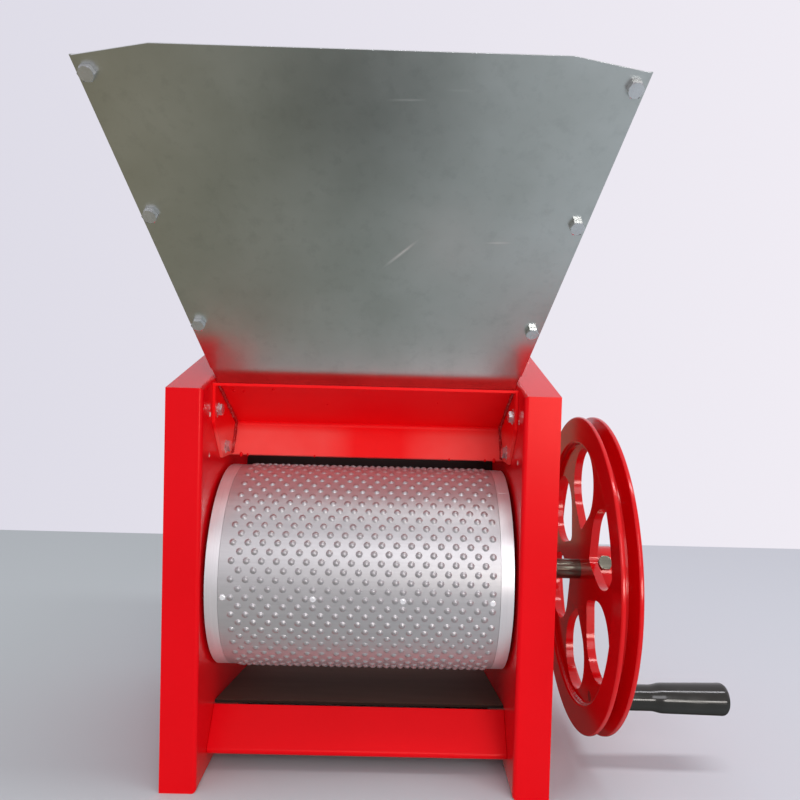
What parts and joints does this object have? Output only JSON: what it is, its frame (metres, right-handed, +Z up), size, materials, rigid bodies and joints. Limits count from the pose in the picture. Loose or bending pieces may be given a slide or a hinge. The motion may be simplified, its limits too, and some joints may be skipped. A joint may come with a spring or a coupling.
{
  "type": "coffee pulper",
  "caption": "Hand-cranked coffee pulper: folded side frames carry a bubbled drum under a flared sheet hopper, with an adjustable breast, a grooved flywheel and a turning crank grip.",
  "frame": {"origin": "on the bench, midway between the four foot holes of the side frames", "axes": "+Z up, +X to the operator's right where the flywheel is, +Y to the rear, away from the operator"},
  "size_m": [0.4174, 0.3594, 0.4474],
  "materials": {
    "red_enamel": "gloss stoving enamel on folded steel sheet",
    "galvanised_sheet": "mottled galvanised sheet",
    "zinc_plate": "bright zinc plate",
    "stainless_sheet": "pressed bright stainless sheet",
    "turned_aluminium": "fine turned",
    "dark_steel": "oiled black steel",
    "red_cast_iron": "gloss enamel on a sand casting",
    "grey_cast_iron": "machined and oiled casting",
    "bronze": "turned",
    "black_plastic": "moulded, satin gloss"
  },
  "bodies": {
    "frame": {"left_side_frame": "red_enamel", "right_side_frame": "red_enamel", "front_guard": "red_enamel", "guard_bolts": "zinc_plate", "guard_nuts": "zinc_plate", "rear_guard": "red_enamel", "front_ramp": "red_enamel", "rear_chute": "dark_steel", "rear_crossbar": "red_enamel", "hopper_front_panel": "galvanised_sheet", "hopper_rear_panel": "galvanised_sheet", "hopper_left_panel": "galvanised_sheet", "hopper_right_panel": "galvanised_sheet", "hopper_bolts": "zinc_plate", "hopper_nuts": "zinc_plate", "hopper_tab_bolts": "zinc_plate", "hopper_tab_nuts": "zinc_plate", "left_bearing_housing": "grey_cast_iron", "right_bearing_housing": "grey_cast_iron", "left_bearing_bush": "bronze", "right_bearing_bush": "bronze", "bearing_bolts": "zinc_plate", "bearing_nuts": "zinc_plate"},
    "rotor": {"drum_shaft": "dark_steel", "drum_left_end": "turned_aluminium", "drum_right_end": "turned_aluminium", "bubble_sheet": "stainless_sheet", "seam_strip": "stainless_sheet", "seam_rivets": "stainless_sheet", "drum_screws": "dark_steel", "left_collar": "dark_steel", "right_collar": "dark_steel", "collar_screws": "dark_steel", "flywheel": "red_cast_iron", "wheel_screw": "zinc_plate", "crank_spindle": "dark_steel"},
    "grip": {"crank_grip": "black_plastic", "grip_cap": "black_plastic"},
    "breast": {"breast_plate": "grey_cast_iron", "breast_pins": "dark_steel"},
    "left_screw": {"left_adjusting_screw": "zinc_plate", "left_stop_nut": "zinc_plate"},
    "right_screw": {"right_adjusting_screw": "zinc_plate", "right_stop_nut": "zinc_plate"}
  },
  "joints": [
    {"name": "drum_spin", "type": "hinge", "parent": "frame", "child": "rotor", "pos_m": [0, -0.028, 0.14], "axis": [1, 0, 0], "continuous": true},
    {"name": "grip_spin", "type": "hinge", "parent": "rotor", "child": "grip", "pos_m": [0.226, -0.06855, 0.05686], "axis": [1, 0, 0], "continuous": true},
    {"name": "breast_slide", "type": "slide", "parent": "frame", "child": "breast", "axis": [0, 1, 0], "range_m": [-0.002, 0.004]},
    {"name": "left_screw_turn", "type": "hinge", "parent": "frame", "child": "left_screw", "pos_m": [-0.06, 0.09, 0.14], "axis": [0, 1, 0], "range_deg": [-960.5, 480.5]},
    {"name": "right_screw_turn", "type": "hinge", "parent": "frame", "child": "right_screw", "pos_m": [0.06, 0.09, 0.14], "axis": [0, 1, 0], "range_deg": [-960.5, 480.5]}
  ],
  "couplings": [
    {"joint": "left_screw_turn", "follows": "breast_slide", "rad_per_m": -4188.8},
    {"joint": "right_screw_turn", "follows": "breast_slide", "rad_per_m": -4188.8}
  ]
}
